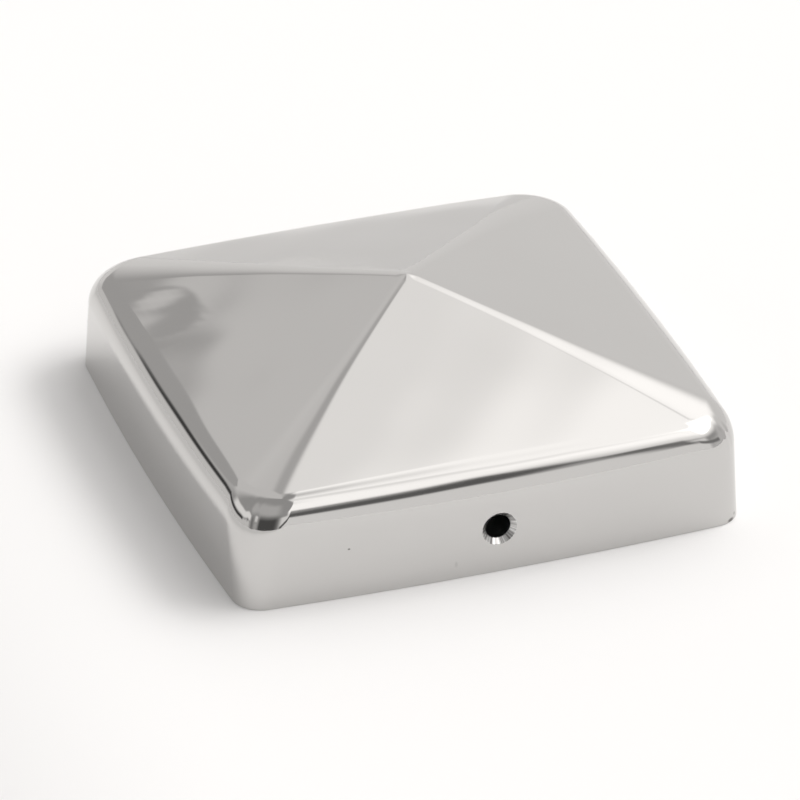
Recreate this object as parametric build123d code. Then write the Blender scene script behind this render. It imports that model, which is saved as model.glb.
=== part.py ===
from build123d import *
import os
from math import atan, atan2, cos, degrees, radians, sqrt, tan

# Post that the cap slides over, and the sheet it is pressed from
post_side = 90.0
post_clearance = 0.5
sheet = 1.2

# Skirt, eave and roof, measured on the outside of the sheet
side_bow = 1.2
eave_height = 19.1
roof_rise = 14.4
eave_radius = 7.2
rim_corner_radius = 5.4
eave_corner_radius = 9.0
tip_width = 1.0

# Countersunk screw holes, one in the middle of the front skirt and one in the back
screw_hole_diameter = 4.5
screw_hole_height = 8.7
countersink_angle = 90.0
countersink_land = 0.3

# The bowed sides bulge out from the post, so the cap is widest at the middle of each side
half_width = post_side / 2 + post_clearance + side_bow + sheet
tip_height = eave_height + roof_rise
slope = atan(roof_rise / (half_width - tip_width / 2))

# The eave bend turns the upright skirt into the sloping roof
bend_turn = 90 - degrees(slope)
bend_start = eave_height - eave_radius * tan(radians(bend_turn / 2))


class BowedSquare:
    """Plan of four bowed sides joined by tangent corner arcs, centred on Z."""

    def __init__(self, corner_radius):
        chord = half_width - corner_radius
        self.corner_radius = corner_radius
        self.side_radius = (chord**2 + side_bow**2) / (2 * side_bow)
        self.setback = self.side_radius - half_width
        reach = self.side_radius - corner_radius
        self.corner_centre = (sqrt(2 * reach**2 - self.setback**2) - self.setback) / 2
        self.join_angle = degrees(atan2(self.corner_centre, self.corner_centre + self.setback))
        self.corner_turn = 90 - 2 * self.join_angle

    def outline(self, inset, height):
        """Closed wire of the plan, moved inwards by the inset."""
        side_centre = (-self.setback, 0, height)
        corner_centre = (self.corner_centre, self.corner_centre, height)
        side = CenterArc(side_centre, self.side_radius - inset, -self.join_angle, 2 * self.join_angle)
        corner = CenterArc(corner_centre, self.corner_radius - inset, self.join_angle, self.corner_turn)
        return Wire(four_times([side, corner]))


def four_times(shapes):
    """The shapes, and their copies turned about Z to the other three sides."""
    return [Rot(0, 0, 90 * turn) * shape for turn in range(4) for shape in shapes]


rim_plan = BowedSquare(rim_corner_radius)
eave_plan = BowedSquare(eave_corner_radius)


def skirt():
    """Upright ring, whose corners widen from the rim to the start of the bend."""

    def block(inset):
        outlines = [rim_plan.outline(inset, 0), eave_plan.outline(inset, bend_start)]
        return Solid.make_loft(outlines, ruled=True)

    return block(0) - block(sheet)


def roof_section(radius, reach):
    """Sheet section from the skirt, at a radius from Z, over the bend and up the roof to a reach inwards."""
    bend_centre = (radius - eave_radius, bend_start)
    outer_bend = CenterArc(bend_centre, eave_radius, 0, bend_turn)
    inner_bend = CenterArc(bend_centre, eave_radius - sheet, 0, bend_turn)
    outer_end = Vector(radius - reach, eave_height + reach * tan(slope))
    inner_end = outer_end - Vector(0, sheet / cos(slope))
    edges = [
        Line(inner_bend @ 0, outer_bend @ 0),
        outer_bend,
        Line(outer_bend @ 1, outer_end),
        Line(outer_end, inner_end),
        Line(inner_end, inner_bend @ 1),
        inner_bend,
    ]
    return Plane.XZ * make_face(edges)


def side_panel():
    """Bend and roof of the right side, out to the corner arcs and in to the hips and the blunt tip."""
    plan = eave_plan
    turned = revolve(roof_section(plan.side_radius, half_width), Axis.Z, 2 * plan.join_angle)
    placed = Pos(-plan.setback, 0, 0) * Rot(0, 0, -plan.join_angle) * turned
    beyond = 2 * half_width
    quarter = Polyline((0, 0), (beyond, -beyond), (beyond, beyond), close=True)
    return placed & extrude(make_face(quarter), tip_height)


def corner_panel():
    """Bend and roof of the corner after the right side, up to the foot of the hip."""
    plan = eave_plan
    turned = revolve(roof_section(plan.corner_radius, plan.corner_radius), Axis.Z, plan.corner_turn)
    return Pos(plan.corner_centre, plan.corner_centre, 0) * Rot(0, 0, plan.join_angle) * turned


def screw_hole_cutter():
    """Drill and countersink on the front skirt, pointing out along -Y."""
    radius = screw_hole_diameter / 2
    depth = sheet - countersink_land
    spread = tan(radians(countersink_angle / 2))
    sink_floor = Plane(origin=(0, depth - half_width, screw_hole_height), z_dir=(0, -1, 0))
    # Both tools run on past the sheet, so that no cut ends on its skin
    drill = Cylinder(radius, 4 * sheet)
    upwards = (Align.CENTER, Align.CENTER, Align.MIN)
    sink = Cone(radius, radius + 2 * depth * spread, 2 * depth, align=upwards)
    return sink_floor * (drill + sink)


def post_cap():
    """Drawn sheet cap, open below, with its two screw holes."""
    cap = skirt() + four_times([side_panel(), corner_panel()])
    for turn in (0, 180):
        cap -= Rot(0, 0, turn) * screw_hole_cutter()
    return cap


os.makedirs("parts", exist_ok=True)
export_step(post_cap(), "parts/post_cap.step")
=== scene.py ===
from collections import namedtuple
from math import atan2, cos, hypot, pi, radians, sin, sqrt, tan

import bpy
from mathutils import Matrix, Vector


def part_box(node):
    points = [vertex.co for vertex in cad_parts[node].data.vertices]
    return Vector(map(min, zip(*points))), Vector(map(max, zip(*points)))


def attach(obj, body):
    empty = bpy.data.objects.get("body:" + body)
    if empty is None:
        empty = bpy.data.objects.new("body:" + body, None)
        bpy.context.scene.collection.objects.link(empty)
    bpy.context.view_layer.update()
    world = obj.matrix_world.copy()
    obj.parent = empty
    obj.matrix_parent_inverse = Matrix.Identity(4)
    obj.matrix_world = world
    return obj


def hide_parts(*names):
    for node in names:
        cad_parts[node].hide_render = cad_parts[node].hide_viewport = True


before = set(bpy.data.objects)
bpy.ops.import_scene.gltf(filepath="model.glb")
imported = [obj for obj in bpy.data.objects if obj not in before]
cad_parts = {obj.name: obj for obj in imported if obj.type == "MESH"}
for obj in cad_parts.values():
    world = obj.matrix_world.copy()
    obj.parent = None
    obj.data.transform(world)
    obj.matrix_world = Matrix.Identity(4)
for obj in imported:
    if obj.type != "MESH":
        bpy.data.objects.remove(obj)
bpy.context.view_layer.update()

MM = 0.001

# Form of the cap, measured on the outside of the sheet
_, CAP_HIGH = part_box("post_cap")
HALF_WIDTH = CAP_HIGH.y
TIP_HEIGHT = CAP_HIGH.z
SHEET = 1.2 * MM
SIDE_BOW = 1.2 * MM
EAVE_HEIGHT = 19.1 * MM
EAVE_RADIUS = 7.2 * MM
RIM_CORNER = 5.4 * MM
EAVE_CORNER = 9.4 * MM
TIP_ROUNDING = 0.5 * MM
RIM_EASE = 0.15 * MM
SLOPE = atan2(TIP_HEIGHT - EAVE_HEIGHT, HALF_WIDTH - TIP_ROUNDING)

# Soft hips: corner radius at the tip, the power by which it grows, the share of the way from which
# it grows steadily, and the most of the half width that it takes
HIP_TIP_CORNER = 1.6 * MM
HIP_GROWTH = 2.2
HIP_STEADY = 0.8
HIP_LIMIT = 0.9

# Slight crown of the roof panels, and the shallow waves that pressing left in the sheet.
# They fade out at the eave, and a higher power keeps the fade closer to it.
EAVE_FADE = 4
CROWN = 0.7 * MM
WAVE_DEPTH = 0.04 * MM
Wave = namedtuple("Wave", "length heading phase")
WAVES = (Wave(31 * MM, 20, 0.4), Wave(23 * MM, 75, 2.1), Wave(17 * MM, 140, 4.0))

# One shallow dent near the back corner of the left panel
Dent = namedtuple("Dent", "x y reach depth")
DENTS = (Dent(-41 * MM, 20 * MM, 9.5 * MM, 0.40 * MM),)

# Fine upright wrinkles that drawing left on the bend, in the middle of each corner
WRINKLE_DEPTH = 0.04 * MM
WRINKLE_COUNT = 7
WRINKLE_LEVEL = 1.35
WRINKLE_REACH = 0.6
WRINKLE_FOCUS = 14

# Countersunk screw holes in the front and back skirts
HOLE_RADIUS = 2.25 * MM
HOLE_HEIGHT = 8.7 * MM
SINK_LAND = 0.3 * MM
SINK_DEPTH = SHEET - SINK_LAND
SINK_RADIUS = HOLE_RADIUS + SINK_DEPTH
SINK_EASE = 0.08 * MM
INNER_EASE = 0.06 * MM
HOLE_SIDES = (1, 3)

# Square patch of the skirt round each hole
PATCH_HALF = 4.8 * MM
PATCH_LOW = HOLE_HEIGHT - PATCH_HALF
PATCH_HIGH = HOLE_HEIGHT + PATCH_HALF

# Mesh density, and how much the rows crowd at the tip and the rings at the holes
CORNER_STEPS = 44
WING_STEPS = 12
FOOT_STEPS = 5
PATCH_STEPS = 12
BEND_STEPS = 14
ROOF_STEPS = 34
RIM_STEPS = 3
PATCH_RINGS = 5
ROOF_CROWDING = 1.3
PATCH_CROWDING = 1.4

# Short step along the skin that finds a normal, and a distance that counts as none
NORMAL_STEP = 1e-3
NEAR_MIDDLE = 1e-3 * MM

# Camera
CAMERA_AIM = Vector((-2.33, -3.57, 10.0)) * MM
CAMERA_DISTANCE = 1.1596
CAMERA_AZIMUTH = radians(-20.15)
CAMERA_ELEVATION = radians(30.84)
CAMERA_ROLL = radians(0.626)
CAMERA_LENS = 293.3
CAMERA_SENSOR = 36.0


def side_radius(corner):
    """Radius of a side that bows out between two corners."""
    chord = HALF_WIDTH - corner
    return (chord**2 + SIDE_BOW**2) / (2 * SIDE_BOW)


def roof_lift(point, share):
    """Height that the crown, waves and dents add, at a share of the way from the tip to the eave."""
    wave = 0
    for ripple in WAVES:
        heading = radians(ripple.heading)
        along = point.x * cos(heading) + point.y * sin(heading)
        wave += sin(2 * pi * along / ripple.length + ripple.phase)
    fade = 1 - share**EAVE_FADE
    lift = CROWN * (share - share**EAVE_FADE) + WAVE_DEPTH * wave * share * fade
    for dent in DENTS:
        away = hypot(point.x - dent.x, point.y - dent.y) / dent.reach
        lift -= dent.depth * fade * max(1 - away**2, 0) ** 2
    return lift


def corner_wrinkle(share, level):
    """Push outwards at a share of the way round a corner, strongest on the bend."""
    fade = max(1 - ((level - WRINKLE_LEVEL) / WRINKLE_REACH) ** 2, 0)
    strength = sin(pi * share) ** WRINKLE_FOCUS * fade**2
    return WRINKLE_DEPTH * strength * sin(2 * pi * WRINKLE_COUNT * share)


class Skin:
    """One face of the sheet: the outside of the cap moved inwards by an inset."""

    def __init__(self, inset):
        self.inset = inset
        self.half = HALF_WIDTH - inset
        self.apex = TIP_HEIGHT + TIP_ROUNDING * tan(SLOPE) - inset / cos(SLOPE)
        self.bend = EAVE_RADIUS - inset
        self.rim_corner = RIM_CORNER - inset
        self.eave_corner = EAVE_CORNER - inset

    def rim(self, column):
        x, y = column.place(self.half, self.rim_corner, side_radius(RIM_CORNER) - self.inset)
        return Vector((x, y, 0))

    def hip_corner(self, share):
        """Corner radius at a share of the way from the tip to the eave.

        It grows ever faster, then steadily.
        """

        def growth(share):
            curved = min(share, HIP_STEADY)
            return curved**HIP_GROWTH * (1 + HIP_GROWTH * (share - curved) / curved)

        return HIP_TIP_CORNER + (self.eave_corner - HIP_TIP_CORNER) * growth(share) / growth(1)

    def roof(self, column, share):
        """Point of the roof at a share of the way from the tip to the eave."""
        half = self.half * share
        corner = self.hip_corner(share)
        bowed = (side_radius(EAVE_CORNER) - self.inset) * share
        x, y = column.place(half, min(corner, HIP_LIMIT * half), bowed)
        return Vector((x, y, self.apex - tan(SLOPE) * sqrt(half**2 + TIP_ROUNDING**2)))

    def point(self, column, level):
        """Point at a level, with the lift of the roof and the wrinkles of the corners."""
        eave = self.roof(column, 1)
        point = self.plain_point(column, level, eave)
        if level > 1:
            share = min(hypot(point.x, point.y) / hypot(eave.x, eave.y), 1)
            point.z += roof_lift(point, share)
        if column.on_corner:
            outward = Vector((point.x, point.y, 0)).normalized()
            point += outward * corner_wrinkle(column.share, level)
        return point

    def plain_point(self, column, level, eave):
        """Point at a level: 0 to 1 up the skirt, 1 to 2 over the bend, 2 to 3 up the roof."""
        foot = self.rim(column)
        up = (eave - foot).normalized()
        bend_share = 1 - self.bend / self.half
        inward = (self.roof(column, bend_share) - eave).normalized()
        turn = up.angle(inward)
        reach = self.bend * tan(turn / 2)
        if level <= 1:
            return foot.lerp(eave - up * reach, level)
        if level <= 2:
            start = eave - up * reach
            aside = (inward - up * inward.dot(up)).normalized()
            angle = turn * (level - 1)
            return start + up * self.bend * sin(angle) + aside * self.bend * (1 - cos(angle))
        whole = (self.roof(column, bend_share) - eave).length / (1 - bend_share)
        bend_end = 1 - reach / whole
        return self.roof(column, bend_end * (3 - level))

    def normal(self, column, level):
        """Outward normal from two short steps along the skin."""
        step = NORMAL_STEP
        level = min(max(level, step), 3 - 2 * step)
        along = self.point(column.shifted(step), level) - self.point(column.shifted(-step), level)
        upwards = self.point(column, level + step) - self.point(column, level - step)
        return along.cross(upwards).normalized()


class Column:
    """One place along the outline: a share of a side or of the corner that follows it."""

    def __init__(self, quarter, on_corner, share):
        self.quarter = quarter
        self.on_corner = on_corner
        self.share = share

    def shifted(self, step):
        return Column(self.quarter, self.on_corner, self.share + step)

    def place(self, half, corner, bowed):
        """Plan point on a square of this half width and corner radius, with sides bowed to a radius."""
        setback = bowed - half
        centre = (sqrt(2 * (bowed - corner) ** 2 - setback**2) - setback) / 2
        join = atan2(centre, centre + setback)
        if self.on_corner:
            angle = join + (pi / 2 - 2 * join) * self.share
            x = centre + corner * cos(angle)
            y = centre + corner * sin(angle)
        else:
            angle = join * (2 * self.share - 1)
            x = bowed * cos(angle) - setback
            y = bowed * sin(angle)
        turn = self.quarter * pi / 2
        return x * cos(turn) - y * sin(turn), x * sin(turn) + y * cos(turn)


def spread(start, end, steps):
    """Evenly spaced values, without the last one."""
    return [start + (end - start) * step / steps for step in range(steps)]


def make_columns():
    """Columns round the cap, close together beside the middle of each side."""
    patch = 0.5 * PATCH_HALF / (HALF_WIDTH - EAVE_CORNER)
    shares = spread(0, 0.5 - patch, WING_STEPS)
    shares += spread(0.5 - patch, 0.5 + patch, PATCH_STEPS)
    shares += spread(0.5 + patch, 1, WING_STEPS)
    columns = []
    for quarter in range(4):
        columns += [Column(quarter, False, share) for share in shares]
        columns += [Column(quarter, True, share) for share in spread(0, 1, CORNER_STEPS)]
    return columns


class CapMesh:
    """Gathers the points, normals and faces of the cap."""

    def __init__(self):
        self.points = []
        self.normals = []
        self.faces = []

    def add(self, point, normal):
        self.points.append(point)
        self.normals.append(normal)
        return len(self.points) - 1

    def strip(self, low, high):
        """Faces between two closed rows of as many points."""
        for i in range(len(low)):
            j = (i + 1) % len(low)
            self.faces.append((low[i], low[j], high[j], high[i]))


def skirt_levels(skirt_height):
    """Levels up the skirt, close together beside the screw holes."""
    heights = spread(RIM_EASE, PATCH_LOW, FOOT_STEPS)
    heights += spread(PATCH_LOW, PATCH_HIGH, PATCH_STEPS)
    heights += [PATCH_HIGH]
    return [height / skirt_height for height in heights]


def make_skin(mesh, skin, columns, outward):
    """Rows of one skin from the rim to the tip, left open at the patches round the holes."""
    middle = Column(0, False, 0.5)
    skirt_height = skin.point(middle, 1).z
    levels = skirt_levels(skirt_height)
    levels += spread(1, 2, BEND_STEPS)
    levels += [3 - (1 - step / ROOF_STEPS) ** ROOF_CROWDING for step in range(ROOF_STEPS)]
    patch_first = FOOT_STEPS
    side_steps = 2 * WING_STEPS + PATCH_STEPS
    quarter_steps = side_steps + CORNER_STEPS
    rows = []
    for level in levels:
        row = [mesh.add(skin.point(c, level), skin.normal(c, level) * outward) for c in columns]
        rows.append(row)
    for low in range(len(rows) - 1):
        for i in range(len(columns)):
            j = (i + 1) % len(columns)
            quarter, step = divmod(i, quarter_steps)
            beside = WING_STEPS <= step < WING_STEPS + PATCH_STEPS
            within = patch_first <= low < patch_first + PATCH_STEPS
            if quarter in HOLE_SIDES and beside and within:
                continue
            quad = (rows[low][i], rows[low][j], rows[low + 1][j], rows[low + 1][i])
            mesh.faces.append(quad if outward > 0 else quad[::-1])
    openings = {}
    for quarter in HOLE_SIDES:
        first = quarter * quarter_steps + WING_STEPS
        last = first + PATCH_STEPS
        top = patch_first + PATCH_STEPS
        loop = [rows[patch_first][i] for i in range(first, last)]
        loop += [rows[k][last] for k in range(patch_first, top)]
        loop += [rows[top][i] for i in range(last, first, -1)]
        loop += [rows[k][first] for k in range(top, patch_first, -1)]
        openings[quarter] = loop
    tip = mesh.add(Vector((0, 0, skin.apex - tan(SLOPE) * TIP_ROUNDING)), Vector((0, 0, outward)))
    for i in range(len(columns)):
        j = (i + 1) % len(columns)
        corner = (rows[-1][i], rows[-1][j], tip)
        mesh.faces.append(corner if outward > 0 else corner[::-1])
    return rows[0], openings


def make_rim(mesh, columns, outer_row, inner_row):
    """Eased lower edge that joins the two skins."""
    below = Vector((0, 0, -1))
    rows = [outer_row]

    def edge_row(inset, height, outward_share, sign):
        skin = Skin(inset)
        row = []
        for column in columns:
            point = skin.rim(column)
            point.z = height
            normal = skin.normal(column, 0) * sign * outward_share
            row.append(mesh.add(point, (normal + below * sqrt(1 - outward_share**2)).normalized()))
        rows.append(row)

    for step in range(1, RIM_STEPS + 1):
        angle = pi / 2 * step / RIM_STEPS
        edge_row(RIM_EASE * (1 - cos(angle)), RIM_EASE * (1 - sin(angle)), cos(angle), 1)
    for step in range(RIM_STEPS, 0, -1):
        angle = pi / 2 * step / RIM_STEPS
        edge_row(SHEET - RIM_EASE * (1 - cos(angle)), RIM_EASE * (1 - sin(angle)), cos(angle), -1)
    rows.append(inner_row)
    for upper, lower in zip(rows, rows[1:]):
        mesh.strip(lower, upper)


def hole_frame(quarter):
    """Outward and sideways directions of a side with a hole."""
    turn = quarter * pi / 2
    return Vector((cos(turn), sin(turn), 0)), Vector((-sin(turn), cos(turn), 0))


def make_hole(mesh, quarter, outer_loop, inner_loop):
    """Countersunk hole from the outer patch through to the inner one."""
    outward, aside = hole_frame(quarter)
    centre = Vector((0, 0, HOLE_HEIGHT))
    angles = []
    for index in outer_loop:
        arm = mesh.points[index] - centre
        angles.append(atan2(arm.z, arm.dot(aside)))

    def ring(radius, out, slant):
        """Circle at a distance out from the middle of the cap.

        The slant is its normal's share along the hole.
        """
        row = []
        for angle in angles:
            arm = aside * cos(angle) + Vector((0, 0, sin(angle)))
            normal = outward * slant - arm * sqrt(1 - slant**2)
            row.append(mesh.add(outward * out + centre + arm * radius, normal))
        return row

    def patch(loop, radius, out, sign):
        """Rings that widen from the hole's edge to the square patch."""
        rows = [ring(radius, out, 1)]
        for index in rows[0]:
            mesh.normals[index] = outward * sign
        for step in range(1, PATCH_RINGS):
            share = (step / PATCH_RINGS) ** PATCH_CROWDING
            row = []
            for inner, outer in zip(rows[0], loop):
                point = mesh.points[inner].lerp(mesh.points[outer], share)
                span = mesh.points[outer].dot(aside)
                here = point.dot(aside)
                drop = mesh.points[outer].dot(outward) - out
                bow = (here / span) ** 2 if abs(span) > NEAR_MIDDLE else share
                point += outward * (out + drop * bow - point.dot(outward))
                normal = mesh.normals[inner].lerp(mesh.normals[outer], share).normalized()
                row.append(mesh.add(point, normal))
            rows.append(row)
        rows.append(loop)
        return rows

    outer_face = HALF_WIDTH
    inner_face = HALF_WIDTH - SHEET
    outside = patch(outer_loop, SINK_RADIUS + SINK_EASE, outer_face, 1)
    inside = patch(inner_loop, HOLE_RADIUS + INNER_EASE, inner_face, -1)
    for near, far in zip(outside, outside[1:]):
        mesh.strip(far, near)
    # The countersink slopes at 45 degrees
    slant = sqrt(0.5)
    lip = ring(SINK_RADIUS - SINK_EASE / 2, outer_face - SINK_EASE, slant)
    foot = ring(HOLE_RADIUS + SINK_EASE, outer_face - SINK_DEPTH + SINK_EASE, slant)
    edge = ring(HOLE_RADIUS, outer_face - SINK_DEPTH - SINK_EASE / 2, 0)
    end = ring(HOLE_RADIUS, inner_face + INNER_EASE, 0)
    rows = [outside[0], lip, foot, edge, end]
    for near, far in zip(rows, rows[1:]):
        mesh.strip(near, far)
    for near, far in zip(inside, inside[1:]):
        mesh.strip(near, far)
    mesh.strip(end, inside[0])


def make_cap():
    """The whole cap as one mesh."""
    mesh = CapMesh()
    columns = make_columns()
    outer_row, outer_openings = make_skin(mesh, Skin(0), columns, 1)
    inner_row, inner_openings = make_skin(mesh, Skin(SHEET), columns, -1)
    make_rim(mesh, columns, outer_row, inner_row)
    for quarter in HOLE_SIDES:
        make_hole(mesh, quarter, outer_openings[quarter], inner_openings[quarter])
    data = bpy.data.meshes.new("cap_sheet")
    data.from_pydata(mesh.points, [], mesh.faces)
    data.update()
    data.normals_split_custom_set_from_vertices(mesh.normals)
    cap = bpy.data.objects.new("cap_sheet", data)
    bpy.context.scene.collection.objects.link(cap)
    return cap


# Colour sockets of the mix node, which share their names with its number sockets
COLOUR_INPUTS = (6, 7)
COLOUR_OUTPUT = 2


class Graph:
    """Short names for the nodes of a material or a world."""

    def __init__(self, tree):
        self.nodes = tree.nodes
        self.links = tree.links

    def put(self, socket, value):
        """Give a socket a number or another node's result."""
        if isinstance(value, (int, float)):
            socket.default_value = value
        else:
            self.links.new(value, socket)

    def math(self, operation, *values):
        node = self.nodes.new("ShaderNodeMath")
        node.operation = operation
        for socket, value in zip(node.inputs, values):
            self.put(socket, value)
        return node.outputs[0]

    def ramp(self, value, start, end, low=0.0, high=1.0):
        """Smooth step from low at the start to high at the end."""
        node = self.nodes.new("ShaderNodeMapRange")
        node.interpolation_type = "SMOOTHSTEP"
        node.inputs["From Min"].default_value = start
        node.inputs["From Max"].default_value = end
        node.inputs["To Min"].default_value = low
        node.inputs["To Max"].default_value = high
        self.put(node.inputs["Value"], value)
        return node.outputs["Result"]

    def vector(self, operation, *values):
        """Result of a vector node, from vectors or other results."""
        node = self.nodes.new("ShaderNodeVectorMath")
        node.operation = operation
        for socket, value in zip(node.inputs, values):
            if isinstance(value, tuple):
                socket.default_value = value
            else:
                self.links.new(value, socket)
        return node.outputs["Value" if operation == "LENGTH" else "Vector"]

    def noise(self, place, scale, detail):
        node = self.nodes.new("ShaderNodeTexNoise")
        node.inputs["Scale"].default_value = scale
        node.inputs["Detail"].default_value = detail
        self.links.new(place, node.inputs["Vector"])
        return node.outputs["Fac"]

    def blend(self, share, first, second):
        """The first colour, or the second where the share is 1."""
        node = self.nodes.new("ShaderNodeMix")
        node.data_type = "RGBA"
        self.links.new(share, node.inputs["Factor"])
        for index, value in zip(COLOUR_INPUTS, (first, second)):
            socket = node.inputs[index]
            if isinstance(value, tuple):
                socket.default_value = value
            else:
                self.links.new(value, socket)
        return node.outputs[COLOUR_OUTPUT]

    def mix(self, share, first, second):
        """The first number or result, or the second where the share is 1."""
        node = self.nodes.new("ShaderNodeMix")
        self.put(node.inputs["Factor"], share)
        self.put(node.inputs["A"], first)
        self.put(node.inputs["B"], second)
        return node.outputs["Result"]


# Marks on the steel: a speck, a faint scuff and dark spots at the front right corner of the rim.
# Each fades from its core to its size.
Mark = namedtuple("Mark", "place size shade")
MARKS = (
    Mark((-27.4 * MM, -47.5 * MM, 9.8 * MM), (0.32 * MM, 2 * MM, 0.24 * MM), 0.75),
    Mark((-7.9 * MM, -47.8 * MM, 3.0 * MM), (0.4 * MM, 2 * MM, 0.8 * MM), 0.14),
    Mark((44.2 * MM, -45.8 * MM, 0.4 * MM), (1.1 * MM, 1.1 * MM, 0.5 * MM), 0.75),
    Mark((45.2 * MM, -45.0 * MM, 1.1 * MM), (0.4 * MM, 0.4 * MM, 0.4 * MM), 0.55),
)
MARK_CORE = 0.35
MARK_COLOUR = (0.05, 0.045, 0.04, 1)

# Polished steel with faint clouds, and painted reflection streaks on the machined countersinks:
# tints, ranges of roughness, and noise
STEEL_DARK = (0.591, 0.584, 0.573, 1)
STEEL_PALE = (0.608, 0.601, 0.590, 1)
STREAK_PAINTED_DARK = (0.34, 0.335, 0.33, 1)
STREAK_PAINTED_PALE = (0.85, 0.845, 0.835, 1)
STREAK_PAINTED_RANGE = (0.38, 0.62)
POLISHED = (0.045, 0.085)
MACHINED = (0.22, 0.40)
CLOUD_SCALE = 60
CLOUD_DETAIL = 4
STREAK_SCALE = 6
STREAK_DETAIL = 3


def make_steel():
    """Polished stainless steel, machined in the countersinks, with painted reflection streaks there."""
    material = bpy.data.materials.new("polished_stainless")
    material.use_nodes = True
    graph = Graph(material.node_tree)
    shader = graph.nodes["Principled BSDF"]
    shader.inputs["Metallic"].default_value = 1.0
    place = graph.nodes.new("ShaderNodeTexCoord").outputs["Object"]
    parts = graph.nodes.new("ShaderNodeSeparateXYZ")
    graph.links.new(place, parts.inputs[0])
    cloud = graph.noise(place, CLOUD_SCALE, CLOUD_DETAIL)
    tint = graph.blend(cloud, STEEL_DARK, STEEL_PALE)

    # Countersink streaks from noise along the angle about the hole; their colour is a painted reflection
    across = parts.outputs["X"]
    rise = graph.math("SUBTRACT", parts.outputs["Z"], HOLE_HEIGHT)
    angle = graph.math("ARCTAN2", rise, across)
    squares = graph.math("ADD", graph.math("POWER", rise, 2), graph.math("POWER", across, 2))
    radius = graph.math("SQRT", squares)
    turn = graph.nodes.new("ShaderNodeCombineXYZ")
    graph.links.new(angle, turn.inputs["X"])
    streaks = graph.noise(turn.outputs["Vector"], STREAK_SCALE, STREAK_DETAIL)
    sink = graph.ramp(radius, SINK_RADIUS + SINK_EASE, SINK_RADIUS)
    # Painted reflection: the countersink colour swings between dark and pale along the streaks
    painted_reflection_tint = graph.blend(graph.ramp(streaks, *STREAK_PAINTED_RANGE), STREAK_PAINTED_DARK, STREAK_PAINTED_PALE)
    tint = graph.blend(sink, tint, painted_reflection_tint)

    for mark in MARKS:
        offset = graph.vector("SUBTRACT", place, mark.place)
        away = graph.vector("LENGTH", graph.vector("DIVIDE", offset, mark.size))
        tint = graph.blend(graph.ramp(away, 1.0, MARK_CORE, 0.0, mark.shade), tint, MARK_COLOUR)
    graph.links.new(tint, shader.inputs["Base Color"])
    polished = graph.ramp(cloud, 0, 1, *POLISHED)
    machined = graph.ramp(streaks, 0, 1, *MACHINED)
    graph.links.new(graph.mix(sink, polished, machined), shader.inputs["Roughness"])
    return material


# Floor: white round the cap, with painted shade that makes it greyer on its left and far behind it
FLOOR_HALF = 6.0
FLOOR_WHITE = 0.93
FLOOR_PAINTED_SHADE = 0.735
LEFT_SHADE_START = 10 * MM
LEFT_SHADE_END = 100 * MM
BACK_SHADE_START = 120 * MM
BACK_SHADE_END = 330 * MM


def make_floor():
    """White floor that the cap stands on, with painted shade on its left and far behind it."""
    data = bpy.data.meshes.new("floor")
    size = FLOOR_HALF
    corners = [(-size, -size, 0), (size, -size, 0), (size, size, 0), (-size, size, 0)]
    data.from_pydata(corners, [], [(0, 1, 2, 3)])
    floor = bpy.data.objects.new("floor", data)
    bpy.context.scene.collection.objects.link(floor)
    material = bpy.data.materials.new("floor_with_painted_shade")
    material.use_nodes = True
    graph = Graph(material.node_tree)
    shader = graph.nodes["Principled BSDF"]
    shader.inputs["Roughness"].default_value = 1.0
    shader.inputs["Specular IOR Level"].default_value = 0.0
    place = graph.nodes.new("ShaderNodeTexCoord")
    parts = graph.nodes.new("ShaderNodeSeparateXYZ")
    graph.links.new(place.outputs["Object"], parts.inputs[0])
    # Painted shade: the floor's colour turns greyer on the left of the cap and far behind it
    left = graph.ramp(parts.outputs["X"], -HALF_WIDTH - LEFT_SHADE_START, -HALF_WIDTH - LEFT_SHADE_END)
    back_shade = graph.ramp(parts.outputs["Y"], HALF_WIDTH + BACK_SHADE_START, HALF_WIDTH + BACK_SHADE_END)
    painted_shade = graph.math("MAXIMUM", left, back_shade)
    graph.links.new(graph.mix(painted_shade, FLOOR_WHITE, FLOOR_PAINTED_SHADE), shader.inputs["Base Color"])
    data.materials.append(material)


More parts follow.
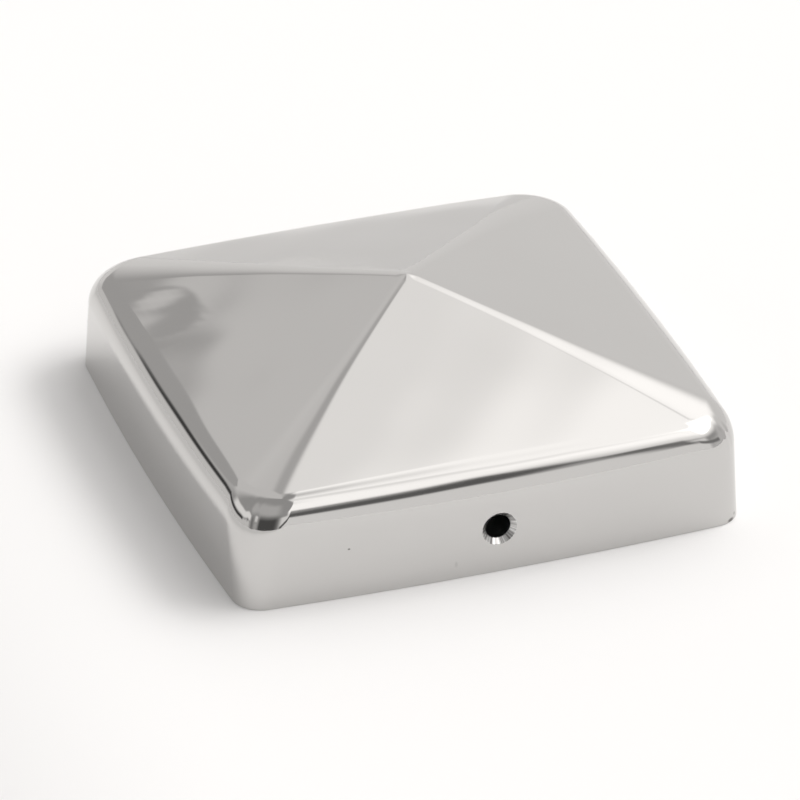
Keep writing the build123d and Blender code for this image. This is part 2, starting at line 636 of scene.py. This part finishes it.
# Studio round the cap, in degrees: azimuth 0 is behind it and turns to the right.
# A later panel lies over the earlier ones. The tilt is the rise of a panel along its width.
STUDIO_LEVEL = 0.41
STUDIO_COLOUR = (1.02, 1.0, 0.985, 1)
Panel = namedtuple("Panel", "azimuth half_width elevation half_height soft_across soft_up tilt level")
STUDIO = (
    # Grey tent at the back left, and a dimmer wall at the left
    Panel(-14, 36, 62, 34, 30, 14, 0, 0.77),
    Panel(-130, 36, 54, 14, 24, 14, 0, 0.58),
    # Pale horizon behind and on the right, dimmer towards the front
    Panel(30, 62, 4, 25, 40, 10, 0, 0.86),
    Panel(105, 24, 6, 12, 30, 12, 0, 0.66),
    # Large soft box on the right, its glow, its bright lower part and its core
    Panel(86, 68, 52, 23, 12, 10, 0.06, 1.14),
    Panel(86, 45, 58, 16, 10, 10, 0, 1.50),
    Panel(92, 56, 46, 10, 14, 12, 0.13, 1.61),
    Panel(94, 26, 50, 9, 24, 12, 0, 7.9),
    # Pale sheet and dark gap beside the soft box, and the thin edge of the box
    Panel(0, 8, 48, 4, 14, 14, 0, 0.82),
    Panel(13.5, 4.5, 62, 10, 5, 8, 0, 0.56),
    Panel(39, 14, 52, 0.8, 8, 1.2, 0, 1.08),
    # Bright strip in front, pale horizon below it, and the thin dark gap that turns down at the right
    Panel(160, 14, 48.5, 6.5, 8, 4, -0.9, 1.5),
    Panel(160, 30, 2, 28, 12, 6, 0, 0.94),
    Panel(171, 17.5, 21.2, 4.5, 2.4, 4, -1.2, 0.14),
    Panel(152.8, 1.8, 29, 8.5, 2.4, 5, 0, 0.2),
    Panel(128, 23, 16, 4, 6, 5, 0.25, 0.25),
    # Dark room at the front left
    Panel(-146, 21, 14, 19, 18, 18, 0, 0.09),
    # Left: horizon, bright strip over it, dim back in two heights and dark gap
    Panel(-62, 46, 4, 10, 24, 6, 0, 0.76),
    Panel(-84, 28, 25, 7, 14, 6, 0, 1.02),
    Panel(-10, 14, 22, 10, 14, 1.6, 0, 0.49),
    Panel(-19, 14.6, 22.5, 12.2, 2, 1.6, 0, 0.49),
    Panel(-62, 30.5, 12.6, 3.2, 4, 4, 0, 0.06),
)


def make_world():
    """Soft studio light all round: large soft boxes with dark gaps between them."""
    world = bpy.data.worlds.new("studio")
    bpy.context.scene.world = world
    world.use_nodes = True
    graph = Graph(world.node_tree)
    ray = graph.nodes.new("ShaderNodeTexCoord")
    parts = graph.nodes.new("ShaderNodeSeparateXYZ")
    graph.links.new(ray.outputs["Generated"], parts.inputs[0])
    azimuth = graph.math("DEGREES", graph.math("ARCTAN2", parts.outputs["X"], parts.outputs["Y"]))
    elevation = graph.math("DEGREES", graph.math("ARCSINE", parts.outputs["Z"]))

    def within(distance, half, soft):
        """1 within half a width, falling smoothly to 0 over the soft edge."""
        return graph.ramp(graph.math("ABSOLUTE", distance), half + soft / 2, half - soft / 2)

    level = STUDIO_LEVEL
    for panel in STUDIO:
        aside = graph.math("SUBTRACT", azimuth, panel.azimuth)
        if abs(panel.azimuth) + panel.half_width + panel.soft_across > 180:
            aside = graph.math("WRAP", aside, 180, -180)
        above = graph.math("SUBTRACT", elevation, panel.elevation)
        if panel.tilt:
            above = graph.math("MULTIPLY_ADD", aside, -panel.tilt, above)
        beside = within(aside, panel.half_width, panel.soft_across)
        between = within(above, panel.half_height, panel.soft_up)
        level = graph.mix(graph.math("MULTIPLY", beside, between), level, panel.level)
    background = graph.nodes["Background"]
    background.inputs["Color"].default_value = STUDIO_COLOUR
    graph.links.new(level, background.inputs["Strength"])


def make_camera():
    """Camera at the photograph's place."""
    data = bpy.data.cameras.new("camera")
    data.lens = CAMERA_LENS
    data.sensor_width = CAMERA_SENSOR
    camera = bpy.data.objects.new("camera", data)
    bpy.context.scene.collection.objects.link(camera)
    away = Vector((
        sin(CAMERA_AZIMUTH) * cos(CAMERA_ELEVATION),
        -cos(CAMERA_AZIMUTH) * cos(CAMERA_ELEVATION),
        sin(CAMERA_ELEVATION),
    ))
    place = Matrix.Translation(CAMERA_AIM + away * CAMERA_DISTANCE)
    turned = (-away).to_track_quat("-Z", "Y").to_matrix().to_4x4()
    rolled = Matrix.Rotation(CAMERA_ROLL, 4, "Z")
    camera.matrix_world = place @ turned @ rolled
    bpy.context.scene.camera = camera


cap = make_cap()
cap.data.materials.append(make_steel())
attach(cap, "root")
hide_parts("post_cap")
make_floor()
make_world()
make_camera()
bpy.context.scene.view_settings.view_transform = "Standard"
